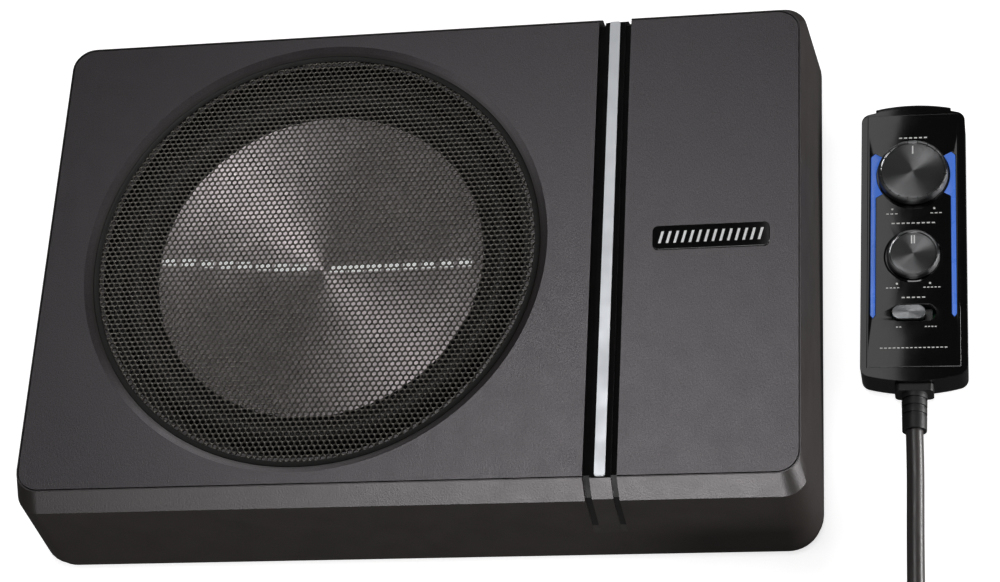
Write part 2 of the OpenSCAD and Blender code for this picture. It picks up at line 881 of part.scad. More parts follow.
// Upper shell with a seat for the gloss face
module remote_cover() {
    color([0.07, 0.07, 0.07])
    at_remote()
    difference() {
        union() {
            difference() {
                translate([0, 0, split_z]) linear_extrude(remote_h - split_z) remote_outline(0);
                translate([0, 0, split_z - through])
                    linear_extrude(remote_h - face_t - 1.6 - split_z + through) remote_outline(remote_wall);
            }
            for (p = remote_posts)
                translate([p[0], p[1], split_z]) cylinder(r = 2.8, h = 4, $fn = 32);
        }
        translate([0, 0, remote_h - face_t]) linear_extrude(face_t + through) face_outline(0.05);
        for (y = [volume_y, frequency_y])
            translate([0, y, 0]) cylinder(r = shaft_hole_r, h = 2 * remote_h);
        translate([0, phase_y, 0]) linear_extrude(2 * remote_h) slot_outline(slot_l, slot_w);
        for (side = [-1, 1])
            linear_extrude(2 * remote_h) guide_outline(side);
        for (p = remote_posts)
            translate([p[0], p[1], split_z - through]) cylinder(r = 1.2, h = 4, $fn = 24);
        boot_neck(0.1);
    }
}

// Plan of the gloss face
module face_outline(grow) {
    bow_y = remote_l / 2 - 5 + grow - end_arc_r;
    intersection() {
        square([face_w + 2 * grow, remote_l], center = true);
        translate([0, 1.5]) square([remote_w, remote_l - 10 + 2 * grow], center = true);
        for (end = [-1, 1])
            translate([0, 1.5 + end * bow_y]) circle(r = end_arc_r, $fn = 180);
    }
}

module remote_face() {
    color([0.1, 0.1, 0.11])
    at_remote()
    translate([0, 0, remote_h - face_t])
    difference() {
        linear_extrude(face_t + face_proud) face_outline(0);
        for (y = [volume_y, frequency_y])
            translate([0, y, -through]) cylinder(r = shaft_hole_r, h = 2 * remote_h);
        translate([0, phase_y, -through]) linear_extrude(2 * remote_h) slot_outline(slot_l, slot_w);
        translate([0, 0, -through])
            for (side = [-1, 1])
                linear_extrude(2 * remote_h) guide_outline(side);
    }
}

// Insert that stands out of the end away from the cord
module remote_end_cap() {
    cap_w = 33.5;
    cap_l = 3;
    color([0.03, 0.03, 0.03])
    at_remote()
    translate([0, 0, 2])
    linear_extrude(11)
    difference() {
        intersection() {
            translate([-cap_w / 2, 0]) square([cap_w, remote_l]);
            translate([0, remote_l / 2 - end_arc_r + cap_l]) circle(r = end_arc_r, $fn = 180);
        }
        translate([0, remote_l / 2 - end_arc_r]) circle(r = end_arc_r + 0.05, $fn = 180);
    }
}

module light_guides() {
    color([0.15, 0.35, 0.85])
    at_remote()
    for (side = [-1, 1])
        translate([0, 0, 10]) linear_extrude(face_top - 10) guide_outline(side);
}

// A knob with a dished top, a chamfered rim and a bore for its shaft
module knob(d, h, y) {
    low = face_top + knob_gap;
    high = low + h;
    at_remote()
    translate([0, y, 0])
    difference() {
        rotate_extrude()
            polygon([[0, low], [d / 2, low], [d / 2, high - 1], [d / 2 - 0.8, high],
                     [d / 2 - 2, high], [d / 2 - 2.6, high - 0.5], [0, high - 0.9]]);
        translate([0, 0, low - through]) cylinder(r = shaft_r + 0.02, h = shaft_grip + 0.2 + through);
    }
}

// A potentiometer's turning shaft
module pot_shaft(y) {
    low = 9;
    at_remote() translate([0, y, low]) cylinder(r = shaft_r, h = face_top + knob_gap + shaft_grip - low);
}

// A potentiometer's body, with the bushing that its shaft turns in
module pot_body(y) {
    pot_z = remote_board_z + remote_board_t;
    at_remote()
    translate([0, y, 0])
    difference() {
        span([-6, -6, pot_z], [6, 6, 11.5]);
        translate([0, 0, 8.7]) cylinder(r = shaft_r + bushing_clear, h = remote_h);
    }
}

module volume_knob() {
    color([0.16, 0.16, 0.17]) knob(volume_d, volume_h, volume_y);
}

module volume_shaft() {
    color([0.7, 0.7, 0.72]) pot_shaft(volume_y);
}

module volume_pot() {
    color([0.2, 0.35, 0.3]) pot_body(volume_y);
}

module frequency_knob() {
    color([0.16, 0.16, 0.17]) knob(frequency_d, frequency_h, frequency_y);
}

module frequency_shaft() {
    color([0.7, 0.7, 0.72]) pot_shaft(frequency_y);
}

module frequency_pot() {
    color([0.2, 0.35, 0.3]) pot_body(frequency_y);
}

// The sliding thumb and its stem, at the left end of its travel
module phase_slider() {
    color([0.25, 0.26, 0.27])
    at_remote()
    translate([-phase_travel / 2, phase_y, 0]) {
        translate([0, 0, 12.8]) linear_extrude(3.6) slot_outline(thumb_l, thumb_w);
        span([-2, -1.3, 8.4], [2, 1.3, 12.8]);
    }
}

module phase_switch() {
    color([0.55, 0.56, 0.58])
    at_remote()
    translate([0, phase_y, 0])
    difference() {
        span([-8, -3.5, remote_board_z + remote_board_t], [8, 3.5, 11]);
        span([-4.6, -1.7, 8], [4.6, 1.7, 12]);
    }
}

module remote_board() {
    color([0.1, 0.35, 0.15])
    at_remote()
    translate([0, 0, remote_board_z])
    span([-18.5, -51.5, 0], [18.5, 51.5, remote_board_t]);
}

module remote_screws() {
    color([0.3, 0.3, 0.32])
    at_remote()
    for (p = remote_posts)
        translate([p[0], p[1], 0.4]) screw_up(2.3, 1.4, 1.1, 9);
}

// The neck of the cord boot where it passes the remote's end wall
module boot_neck(grow) {
    translate([0, -remote_l / 2 + 4, boot_z]) rotate([90, 0, 0]) cylinder(r = 4 + grow, h = 6);
}

// Ribbed strain relief: a flange against the end of the remote, then a grooved sleeve
module cord_boot() {
    grooves = 3;
    groove_pitch = 3.6;
    color([0.06, 0.06, 0.06])
    at_remote() {
        boot_neck(0);
        translate([0, -remote_l / 2 - collar_l - 0.05, boot_z]) rotate([-90, 0, 0])
            rounded_plate(collar_w, collar_h, 2.5, collar_l);
        translate([0, -remote_l / 2 - collar_l, boot_z]) rotate([90, 0, 0])
        difference() {
            cylinder(r1 = boot_r, r2 = boot_r - 0.3, h = boot_l);
            for (i = [0 : grooves - 1])
                translate([0, 0, 2.4 + i * groove_pitch]) ring(boot_r - 0.7, boot_r + 1, 1);
        }
    }
}

// ---- cord, coil and plug ----

function unit(v) = v / norm(v);
function tangent(path, i) =
    unit(path[min(i + 1, len(path) - 1)] - path[max(i - 1, 0)]);
function across(t) = unit(cross([0, 0, 1], t));
function tube_ring(path, i, r) = [
    for (k = [0 : cord_sides - 1])
        let (t = tangent(path, i), s = across(t), u = cross(t, s), a = k * 360 / cord_sides)
            path[i] + r * (cos(a) * s + sin(a) * u)
];

// A round tube swept along a list of points
module tube(path, r) {
    n = cord_sides;
    last = (len(path) - 1) * n;
    points = [for (i = [0 : len(path) - 1]) each tube_ring(path, i, r)];
    sides = [
        for (i = [0 : len(path) - 2], k = [0 : n - 1])
            [i * n + k, i * n + (k + 1) % n, (i + 1) * n + (k + 1) % n, (i + 1) * n + k]
    ];
    near = [[for (k = [n - 1 : -1 : 0]) k]];
    far = [[for (k = [0 : n - 1]) last + k]];
    polyhedron(points, concat(sides, near, far));
}

module cord_tube() {
    color([0.12, 0.11, 0.11]) {
        tube(CORD_RUN, cord_d / 2);
        tube(CORD_TAIL, cord_d / 2);
    }
}

// Outer shape of the wound cord
module cord_coil() {
    color([0.12, 0.11, 0.11])
    translate([coil_x, coil_y, coil_z]) rotate_extrude()
        translate([coil_mid_r - coil_band / 2, 0]) square([coil_band, coil_height]);
}

// Strap round the coil's section
module cord_tie() {
    inner_r = coil_mid_r - coil_band / 2 - 0.8;
    outer_r = coil_mid_r + coil_band / 2 + tie_clear;
    top = coil_z + coil_height + tie_clear;
    color([0.05, 0.05, 0.05])
    translate([coil_x, coil_y, 0])
    difference() {
        span([-outer_r - tie_t, -tie_w / 2, 0], [-inner_r + tie_t, tie_w / 2, top + tie_t]);
        span([-outer_r, -tie_w, coil_z], [-inner_r, tie_w, top]);
    }
}

// Modular plug with its latch, lying on the coil
module plug_shell() {
    color([0.75, 0.76, 0.78])
    translate([plug_x - plug_boot_l, plug_y, plug_z - plug_h / 2]) {
        span([-plug_l, -plug_w / 2, 0], [0, plug_w / 2, plug_h]);
        span([-plug_l + 1, -3, plug_h], [-plug_l + 15, 3, plug_h + 1.2]);
    }
}

module plug_boot() {
    color([0.06, 0.06, 0.06])
    translate([plug_x, plug_y, plug_z]) rotate([0, -90, 0])
        cylinder(r1 = cord_d / 2 + 0.1, r2 = plug_h / 2, h = plug_boot_l);
}

upper_case();
speaker_panel();
side_panel();
trim_strip();
badge_plate();
grille();
base_plate();
case_gasket();
case_screws();
mount_inserts();
driver_gasket();
driver_basket();
surround();
cone();
spider();
coil_former();
coil_winding();
top_plate();
magnet();
pole_yoke();
terminal_strip();
tinsel_leads();
driver_screws();
speaker_leads();
amp_board();
board_screws();
heat_sink();
power_transistors();
capacitors();
toroid_coil();
filter_inductors();
control_chips();
connector_panel();
panel_screws();
rca_jacks();
speaker_socket();
remote_jack();
power_terminal();
fuse();
remote_base();
remote_cover();
remote_face();
remote_end_cap();
light_guides();
volume_knob();
volume_shaft();
volume_pot();
frequency_knob();
frequency_shaft();
frequency_pot();
phase_slider();
phase_switch();
remote_board();
remote_screws();
cord_boot();
cord_tube();
cord_coil();
cord_tie();
plug_shell();
plug_boot();
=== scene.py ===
import json
import math

import bmesh
import bpy
from mathutils import Matrix, Quaternion, Vector


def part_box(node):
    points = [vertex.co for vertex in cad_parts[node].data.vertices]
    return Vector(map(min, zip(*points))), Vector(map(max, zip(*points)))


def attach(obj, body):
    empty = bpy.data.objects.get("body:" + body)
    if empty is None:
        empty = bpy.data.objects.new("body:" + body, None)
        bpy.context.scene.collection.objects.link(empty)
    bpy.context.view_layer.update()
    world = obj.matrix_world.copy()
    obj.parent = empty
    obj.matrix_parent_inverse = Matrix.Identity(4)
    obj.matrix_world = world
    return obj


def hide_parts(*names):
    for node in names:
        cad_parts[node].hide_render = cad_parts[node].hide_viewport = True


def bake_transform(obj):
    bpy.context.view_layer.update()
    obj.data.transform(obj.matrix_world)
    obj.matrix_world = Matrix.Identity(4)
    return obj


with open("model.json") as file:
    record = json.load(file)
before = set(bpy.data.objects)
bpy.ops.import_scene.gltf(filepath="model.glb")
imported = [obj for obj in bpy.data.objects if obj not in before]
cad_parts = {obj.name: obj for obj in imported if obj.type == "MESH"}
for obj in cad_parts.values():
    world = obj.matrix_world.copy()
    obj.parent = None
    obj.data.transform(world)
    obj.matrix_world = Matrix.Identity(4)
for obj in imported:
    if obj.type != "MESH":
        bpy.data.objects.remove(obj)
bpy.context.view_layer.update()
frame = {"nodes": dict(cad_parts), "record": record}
NODES = frame["nodes"]
MM = 0.001


def mix(a, b, part):
    """The value a given part of the way from a to b."""
    return a + (b - a) * part


def span(node):
    """Lowest corner, highest corner and centre of a CAD node, in metres."""
    low, high = (Vector(corner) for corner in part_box(node))
    return low, high, (low + high) / 2


# ---------------------------------------------------------------- camera

LENS = 93.93
ROLL = math.radians(-22.97)


def make_camera():
    """The photograph's viewpoint: from above the front right, turned about its own axis."""
    place = Vector((0.2535, -0.518, 1.0506))
    aim = Vector((0.0273, 0.0067, 0.0))
    data = bpy.data.cameras.new("camera")
    data.lens = LENS
    data.sensor_width = 36.0
    data.clip_start = 0.05
    data.clip_end = 50.0
    camera = bpy.data.objects.new("camera", data)
    camera.location = place
    camera.rotation_mode = "QUATERNION"
    level = (aim - place).to_track_quat("-Z", "Y")
    camera.rotation_quaternion = level @ Quaternion((0, 0, 1), ROLL)
    bpy.context.scene.collection.objects.link(camera)
    bpy.context.scene.camera = camera


make_camera()


# ---------------------------------------------------------------- materials


class Graph:
    """A material's node tree with short calls for what every material here needs."""

    def __init__(self, name):
        self.material = bpy.data.materials.new(name)
        self.material.use_nodes = True
        self.tree = self.material.node_tree
        self.shader = self.tree.nodes["Principled BSDF"]
        self.place = self.node("ShaderNodeTexCoord").outputs["Object"]

    def node(self, kind, **values):
        made = self.tree.nodes.new(kind)
        for name, value in values.items():
            if name in made.inputs:
                made.inputs[name].default_value = value
            else:
                setattr(made, name, value)
        return made

    def link(self, source, target):
        self.tree.links.new(source, target)

    def noise(self, scale, detail=3.0, stretch=(1, 1, 1)):
        """Noise with features about 1/scale metres across."""
        mapping = self.node("ShaderNodeMapping")
        mapping.inputs["Scale"].default_value = stretch
        self.link(self.place, mapping.inputs["Vector"])
        noise = self.node("ShaderNodeTexNoise", Scale=scale, Detail=detail)
        self.link(mapping.outputs[0], noise.inputs["Vector"])
        return noise.outputs["Fac"]

    def ramp(self, value, low, high, start=0.3, end=0.7):
        """Colour or grey that goes from low to high as value goes from start to end."""
        ramp = self.node("ShaderNodeValToRGB")
        ramp.color_ramp.elements[0].position = start
        ramp.color_ramp.elements[1].position = end
        ramp.color_ramp.elements[0].color = colour4(low)
        ramp.color_ramp.elements[1].color = colour4(high)
        self.link(value, ramp.inputs["Fac"])
        return ramp.outputs["Color"]

    def colour(self, rgb, vary=0.12, scale=40.0):
        """Base colour that drifts a little over the surface."""
        dark = [c * (1 - vary) for c in rgb]
        light = [min(1.0, c * (1 + vary)) for c in rgb]
        self.link(self.ramp(self.noise(scale), dark, light), self.shader.inputs["Base Color"])

    def roughness(self, value, vary=0.06, scale=120.0):
        low, high = max(0.02, value - vary), min(1.0, value + vary)
        self.link(self.ramp(self.noise(scale), [low] * 3, [high] * 3), self.shader.inputs["Roughness"])

    def bump(self, height, distance, strength=1.0):
        bump = self.node("ShaderNodeBump", Strength=strength, Distance=distance)
        self.link(height, bump.inputs["Height"])
        self.link(bump.outputs["Normal"], self.shader.inputs["Normal"])


def colour4(rgb):
    """A colour with full opacity."""
    return (rgb[0], rgb[1], rgb[2], 1.0)


def plain(name, rgb, rough, metal=0.0, grain=900.0, depth=0.03, vary=0.12, coat=0.0, gleam=0.5,
          drift=0.06, tint=(1, 1, 1), glow=0.0):
    """A moulded, painted or machined surface: drifting colour and gloss over a fine grain."""
    graph = Graph(name)
    graph.colour(rgb, vary)
    graph.roughness(rough, drift)
    graph.shader.inputs["Metallic"].default_value = metal
    graph.shader.inputs["Specular IOR Level"].default_value = gleam
    graph.shader.inputs["Specular Tint"].default_value = colour4(tint)
    graph.shader.inputs["Coat Weight"].default_value = coat
    graph.shader.inputs["Coat Roughness"].default_value = 0.04
    graph.shader.inputs["Emission Color"].default_value = colour4(rgb)
    graph.shader.inputs["Emission Strength"].default_value = glow
    graph.bump(graph.noise(grain, 2.0), depth * MM)
    return graph.material


def panel_cloth(name, rgb):
    """Warm dark grey skin with a fine cloth-like grain."""
    graph = Graph(name)
    graph.colour(rgb, 0.06, 18.0)
    graph.roughness(0.38, 0.02)
    speckle = graph.ramp(graph.noise(2000.0, 1.0), [0.7] * 3, [1.0] * 3, 0.35, 0.65)
    graph.link(speckle, graph.shader.inputs["Specular IOR Level"])
    graph.shader.inputs["Specular Tint"].default_value = (1.0, 0.95, 1.0, 1.0)
    threads = graph.noise(1500.0, 2.0, (1.0, 0.45, 1.0))
    dots = graph.noise(2600.0, 1.0)
    height = graph.node("ShaderNodeMath", operation="ADD")
    graph.link(threads, height.inputs[0])
    graph.link(dots, height.inputs[1])
    graph.bump(height.outputs[0], 0.09 * MM, 0.6)
    return graph.material


def spun_metal(name, rgb, rough, anisotropy, rings, ring_depth):
    """Metal turned on a lathe: fine rings round Z and a highlight that fans out from the centre."""
    graph = Graph(name)
    graph.colour(rgb, 0.06, 60.0)
    graph.roughness(rough, 0.04)
    graph.shader.inputs["Metallic"].default_value = 1.0
    graph.shader.inputs["Anisotropic"].default_value = anisotropy
    graph.shader.inputs["Anisotropic Rotation"].default_value = 0.25
    tangent = graph.node("ShaderNodeTangent", direction_type="RADIAL", axis="Z")
    graph.link(tangent.outputs[0], graph.shader.inputs["Tangent"])
    centre = graph.node("ShaderNodeTexCoord").outputs["Generated"]
    mapping = graph.node("ShaderNodeMapping")
    mapping.inputs["Location"].default_value = (-0.5, -0.5, 0.0)
    mapping.inputs["Scale"].default_value = (1.0, 1.0, 0.0)
    graph.link(centre, mapping.inputs["Vector"])
    wave = graph.node("ShaderNodeTexWave", wave_type="RINGS", rings_direction="SPHERICAL", Scale=rings)
    graph.link(mapping.outputs[0], wave.inputs["Vector"])
    graph.bump(wave.outputs["Fac"], ring_depth * MM, 0.5)
    return graph.material


MATERIALS = {
    "case_black": plain("case_black", (0.0066, 0.0048, 0.0036), 0.42, grain=1400.0, depth=0.06, gleam=0.7,
                        drift=0.02, tint=(1.0, 0.955, 0.985)),
    "panel_texture": panel_cloth("panel_texture", (0.0092, 0.0076, 0.0083)),
    "strip_metal": plain("strip_metal", (0.545, 0.56, 0.585), 0.48, metal=0.8, depth=0.001, vary=0.02),
    "gloss_black": plain("gloss_black", (0.0022, 0.0021, 0.0021), 0.05, depth=0.0003, gleam=0.45,
                         drift=0.01),
    "grille_black": plain("grille_black", (0.046, 0.042, 0.037), 0.3, depth=0.01, gleam=1.0,
                          tint=(1.0, 0.95, 0.86)),
    "screw_steel": plain("screw_steel", (0.22, 0.22, 0.23), 0.35, metal=1.0, depth=0.01),
    "brass": plain("brass", (0.72, 0.5, 0.18), 0.3, metal=1.0, depth=0.004),
    "rubber_black": plain("rubber_black", (0.006, 0.0056, 0.0055), 0.5, grain=700.0, depth=0.03, gleam=0.3),
    "basket_black": plain("basket_black", (0.01, 0.01, 0.0105), 0.5, depth=0.04, gleam=0.3),
    "cone_metal": spun_metal("cone_metal", (0.6, 0.54, 0.555), 0.4, 0.9, 60.0, 0.02),
    "spider_cloth": plain("spider_cloth", (0.45, 0.3, 0.1), 0.8, grain=1500.0, depth=0.15),
    "former_metal": plain("former_metal", (0.7, 0.7, 0.72), 0.35, metal=1.0),
    "copper": plain("copper", (0.72, 0.3, 0.12), 0.35, metal=1.0, grain=2500.0, depth=0.05),
    "iron": plain("iron", (0.42, 0.42, 0.44), 0.4, metal=1.0),
    "ferrite": plain("ferrite", (0.05, 0.05, 0.055), 0.6, depth=0.05),
    "terminal_brown": plain("terminal_brown", (0.16, 0.09, 0.04), 0.6),
    "wire_red": plain("wire_red", (0.45, 0.03, 0.02), 0.45),
    "board_green": plain("board_green", (0.02, 0.13, 0.05), 0.35, grain=500.0, coat=0.5),
    "heat_sink_metal": plain("heat_sink_metal", (0.6, 0.61, 0.63), 0.35, metal=1.0),
    "chip_black": plain("chip_black", (0.015, 0.015, 0.015), 0.5),
    "capacitor_blue": plain("capacitor_blue", (0.02, 0.025, 0.1), 0.3, coat=0.4),
    "socket_white": plain("socket_white", (0.7, 0.7, 0.66), 0.4),
    "fuse_orange": plain("fuse_orange", (0.85, 0.28, 0.02), 0.15, coat=0.6),
    "guide_blue": plain("guide_blue", (0.05, 0.17, 0.68), 0.3, depth=0.005, coat=0.4, glow=0.25),
    "knob_metal": spun_metal("knob_metal", (0.09, 0.09, 0.092), 0.32, 0.9, 45.0, 0.01),
    "shaft_steel": plain("shaft_steel", (0.55, 0.55, 0.57), 0.3, metal=1.0),
    "pot_body": plain("pot_body", (0.4, 0.41, 0.4), 0.35, metal=1.0),
    "slider_metal": spun_metal("slider_metal", (0.16, 0.165, 0.17), 0.32, 0.6, 20.0, 0.01),
    "cord_jacket": plain("cord_jacket", (0.022, 0.019, 0.018), 0.4, grain=500.0, depth=0.04),
    "tie_black": plain("tie_black", (0.02, 0.02, 0.02), 0.8, grain=2500.0, depth=0.2),
    "plug_clear": plain("plug_clear", (0.72, 0.73, 0.75), 0.12, depth=0.004, coat=0.8),
}
LIGHT_INK = plain("light_ink", (0.75, 0.75, 0.73), 0.4, depth=0.005)
# White print on the cone; its glow is a painted sheen, standing in for the bright reflection of real foil.
FOIL_PRINT_PAINTED_SHEEN = plain("foil_print_painted_sheen", (0.95, 0.95, 0.95), 0.35, depth=0.005, glow=0.45)
WHITE_ENAMEL = plain("white_enamel", (0.85, 0.85, 0.85), 0.25, depth=0.004, coat=0.5)
DARK_LINE = plain("dark_line", (0.004, 0.004, 0.004), 0.6)
PIN_RED = plain("pin_red", (0.6, 0.02, 0.02), 0.35)
# Painted shade: near-black for the sheets laid in the groove where the recess is in shade.
GROOVE_SHADE_BLACK = plain("groove_painted_shade", (0.0025, 0.0023, 0.0022), 0.8, grain=2500.0, depth=0.1, gleam=0.1)
# The opening ring's black, darker than the case: partly the ring's own colour, partly painted shadow along
# the edge of the pierced sheet.
RING_BLACK_AND_SHADOW = plain("ring_black_painted_shadow", (0.0024, 0.002, 0.0014), 0.45, depth=0.005, gleam=0.2, drift=0.02)
# Painted shade: a slightly glossier near-black for the sheets that carry the groove's shade over the bevel
# and down the wall.
GROOVE_FADE_SHADE = plain("groove_painted_fade", (0.0026, 0.0022, 0.002), 0.5, grain=2500.0, depth=0.03, gleam=0.22)
GOLD = plain("gold", (0.83, 0.6, 0.2), 0.2, metal=1.0)


# ---------------------------------------------------------------- making pieces


def add_object(name, data, body, slot, material=None, stands_for=()):
    """Puts a piece in the scene, on a body, with its slot's material or the one given, in place of CAD
    nodes.
    """
    made = bpy.data.objects.new(name, data)
    bpy.context.scene.collection.objects.link(made)
    data.materials.clear()
    data.materials.append(material or MATERIALS[slot])
    if body:
        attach(made, body)
    if stands_for:
        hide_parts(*stands_for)
    return made


def clean(mesh, merge=0.0, outward=True):
    """Joins points closer than merge, in metres, and turns the faces outward."""
    work = bmesh.new()
    work.from_mesh(mesh)
    if merge:
        bmesh.ops.remove_doubles(work, verts=work.verts, dist=merge)
    if outward:
        bmesh.ops.recalc_face_normals(work, faces=work.faces)
    work.to_mesh(mesh)
    work.free()


def mesh_data(name, points, faces, smooth=True):
    """A mesh from points in metres, smooth with crisp corners or faceted."""
    mesh = bpy.data.meshes.new(name)
    mesh.from_pydata([tuple(p) for p in points], [], faces)
    mesh.update()
    clean(mesh)
    if smooth:
        crisp_smooth(mesh)
    else:
        mesh.shade_flat()
    return mesh


def crisp_smooth(mesh, degrees=35.0):
    """Smooth shading that stays crisp at corners sharper than the angle."""
    mesh.shade_smooth()
    mesh.set_sharp_from_angle(angle=math.radians(degrees))


def lathe_mesh(name, profile, centre, steps=128, start=0.0, turn=math.tau, closed=True):
    """Turns a profile of (radius, z) in metres round a vertical axis through centre."""
    whole = abs(turn - math.tau) < 1e-6
    columns = steps if whole else steps + 1
    points = [
        Vector((centre.x + r * math.cos(start + turn * i / steps),
                centre.y + r * math.sin(start + turn * i / steps), z))
        for i in range(columns) for r, z in profile
    ]
    count = len(profile)
    faces = []
    for i in range(steps):
        here, there = i * count, ((i + 1) % columns) * count
        for k in range(count if closed else count - 1):
            n = (k + 1) % count
            faces.append((here + k, there + k, there + n, here + n))
    if not whole and closed:
        faces.append(tuple(range(count)))
        last = (columns - 1) * count
        faces.append(tuple(last + k for k in reversed(range(count))))
    mesh = mesh_data(name, points, faces)
    clean(mesh, merge=0.0001 * MM)
    crisp_smooth(mesh)
    return mesh


def soften(made, width, segments=3, angle=18.0):
    """Joins a piece's corners, rounds its sharp edges and keeps its large faces flat, with modifiers."""
    weld = made.modifiers.new("joined_corners", "WELD")
    weld.merge_threshold = 0.002 * MM
    bevel = made.modifiers.new("rounded_edges", "BEVEL")
    bevel.width = width * MM
    bevel.segments = segments
    bevel.limit_method = "ANGLE"
    bevel.angle_limit = math.radians(angle)
    bevel.use_clamp_overlap = True
    flat = made.modifiers.new("flat_faces", "WEIGHTED_NORMAL")
    flat.weight = 95
    crisp_smooth(made.data)


def slab_mesh(name, outline, low, high, transform=Matrix.Identity(4)):
    """A flat plate with the given outline of (x, y) in metres, between two heights."""
    count = len(outline)
    points = [transform @ Vector((x, y, z)) for z in (low, high) for x, y in outline]
    faces = [tuple(reversed(range(count))), tuple(range(count, 2 * count))]
    faces += [(k, (k + 1) % count, count + (k + 1) % count, count + k) for k in range(count)]
    return mesh_data(name, points, faces, smooth=False)


def box_outline(x, y, w, d):
    """A rectangle's corners, anticlockwise, from its centre and size."""
    return [(x - w / 2, y - d / 2), (x + w / 2, y - d / 2), (x + w / 2, y + d / 2), (x - w / 2, y + d / 2)]


def join_meshes(name, meshes):
    """One mesh from several, which are removed."""
    work = bmesh.new()
    for mesh in meshes:
        work.from_mesh(mesh)
        bpy.data.meshes.remove(mesh)
    joined = bpy.data.meshes.new(name)
    work.to_mesh(joined)
    work.free()
    return joined


# ---------------------------------------------------------------- the cord

# Sizes and places in mm, as in the CAD source
CORD_D = 7.5
CORD_RUN = [
    (214, -72, 7.5), (214, -80, 7.3), (214, -90, 6.3), (213.7, -102, 4.9),
    (213.4, -114, 4.1), (213.2, -128, 3.9), (213, -144, 3.9), (213, -160, 3.9),
    (213, -176, 3.9), (213, -192, 4.4), (213, -203, 4.6),
]
CORD_JOIN = (213.2, -215, 4.6)
CORD_TAIL = [
    (202, -237, 34.7), (197, -249, 34.7), (189, -259, 34.7), (178, -267, 34.7),
    (169, -270.5, 34.8), (162, -271, 35),
]
COIL_CENTRE = (157.0, -226.0)
COIL_COLUMNS = 4
COIL_LAYERS = 4
COIL_OUTER_R = 56.25
COIL_FLOOR = 4.55
TURN_POINTS = 30


def ease(t):
    """A part from 0 to 1 that starts and stops smoothly."""
    t = min(1.0, max(0.0, t))
    return t * t * (3 - 2 * t)


def coil_points():
    """The wound cord's centre line in mm: circular turns that step to the next column or layer
    in one part of the turn, then a climb onto the top of the coil."""
    tail = CORD_TAIL[0]
    tail_angle = math.atan2(tail[1] - COIL_CENTRE[1], tail[0] - COIL_CENTRE[0])
    tail_r = math.hypot(tail[0] - COIL_CENTRE[0], tail[1] - COIL_CENTRE[1])
    climb = math.radians(95)
    turns = COIL_COLUMNS * COIL_LAYERS - (climb + tail_angle) / math.tau
    points = []
    steps = int(turns * TURN_POINTS)
    for i in range(1, steps + 1):
        turn = turns * i / steps
        whole = min(int(turn), COIL_COLUMNS * COIL_LAYERS - 1)
        part = ease((turn - whole - 0.4) / 0.6)
        column = spot(whole) + (spot(whole + 1) - spot(whole)) * part
        layer = whole // COIL_COLUMNS
        if whole % COIL_COLUMNS == COIL_COLUMNS - 1:
            layer += part
        if whole == COIL_COLUMNS * COIL_LAYERS - 1:
            column, layer = spot(whole), COIL_LAYERS - 1
        points.append(on_coil(-turn * math.tau, COIL_OUTER_R - column * CORD_D,
                              COIL_FLOOR + layer * CORD_D))
    top_r, top_z = COIL_OUTER_R, COIL_FLOOR + (COIL_LAYERS - 1) * CORD_D
    climb_steps = 9
    for i in range(1, climb_steps):
        part = i / climb_steps
        angle = -turns * math.tau - climb * part
        radius = top_r + (tail_r - top_r) * ease((part - 0.3) / 0.7)
        points.append(on_coil(angle, radius, top_z + (tail[2] - top_z) * ease(part / 0.7)))
    return points


def spot(turn):
    """Column of a turn, counted inward from the outside; layers wind in and out by turns."""
    turn = min(turn, COIL_COLUMNS * COIL_LAYERS - 1)
    layer, place = divmod(turn, COIL_COLUMNS)
    return place if layer % 2 == 0 else COIL_COLUMNS - 1 - place


def on_coil(angle, radius, z):
    """A point at an angle and distance from the coil's centre."""
    return (COIL_CENTRE[0] + radius * math.cos(angle), COIL_CENTRE[1] + radius * math.sin(angle), z)


def make_cord():
    """The remote's cord as one curve, and its length in metres."""
    route = CORD_RUN + [CORD_JOIN] + coil_points() + CORD_TAIL
    data = bpy.data.curves.new("remote_cord", "CURVE")
    data.dimensions = "3D"
    data.bevel_depth = CORD_D / 2 * MM
    data.bevel_resolution = 5
    data.resolution_u = 3
    data.use_fill_caps = True
    spline = data.splines.new("NURBS")
    spline.points.add(len(route) - 1)
    for point, place in zip(spline.points, route):
        point.co = (place[0] * MM, place[1] * MM, place[2] * MM, 1.0)
    spline.order_u = 4
    spline.use_endpoint_u = True
    made = add_object("remote_cord", data, "main", "cord_jacket", stands_for=("cord_tube", "cord_coil"))
    length = sum((Vector(b) - Vector(a)).length for a, b in zip(route, route[1:])) * MM
    return made, length


cord, CORD_LENGTH = make_cord()


# ---------------------------------------------------------------- CAD nodes that keep their shape

# Widths in mm to which sharp edges are rounded
SOFTENED = {
    "upper_case": 0.9, "speaker_panel": 0.25, "side_panel": 0.25, "trim_strip": 0.3,
    "base_plate": 0.4, "remote_base": 0.8, "remote_cover": 2.0, "remote_face": 0.25,
    "remote_end_cap": 0.8, "light_guides": 0.3, "cord_boot": 0.3, "plug_boot": 0.4,
    "connector_panel": 0.2, "rca_jacks": 0.15, "speaker_socket": 0.25, "remote_jack": 0.25,
    "power_terminal": 0.25, "fuse": 0.3, "driver_basket": 0.3, "capacitors": 0.5,
    "phase_slider": 0.4,
}


def dress_cad_nodes():
    """Gives each CAD node its slot's material and rounds the edges of those that are seen close."""
    slots = {entry["node"]: entry["material_slot"] for entry in frame["record"]["subparts"]}
    for name, made in NODES.items():
        made.data.materials.clear()
        made.data.materials.append(MATERIALS[slots[name]])
        if name in SOFTENED:
            soften(made, SOFTENED[name])


dress_cad_nodes()


# ---------------------------------------------------------------- grille, cone and driver

DRIVER = span("grille")[2]
DRIVER_AXIS = Vector((DRIVER.x, 0.0, 0.0))
HOLE_PITCH = 2.62
WEB = 0.8


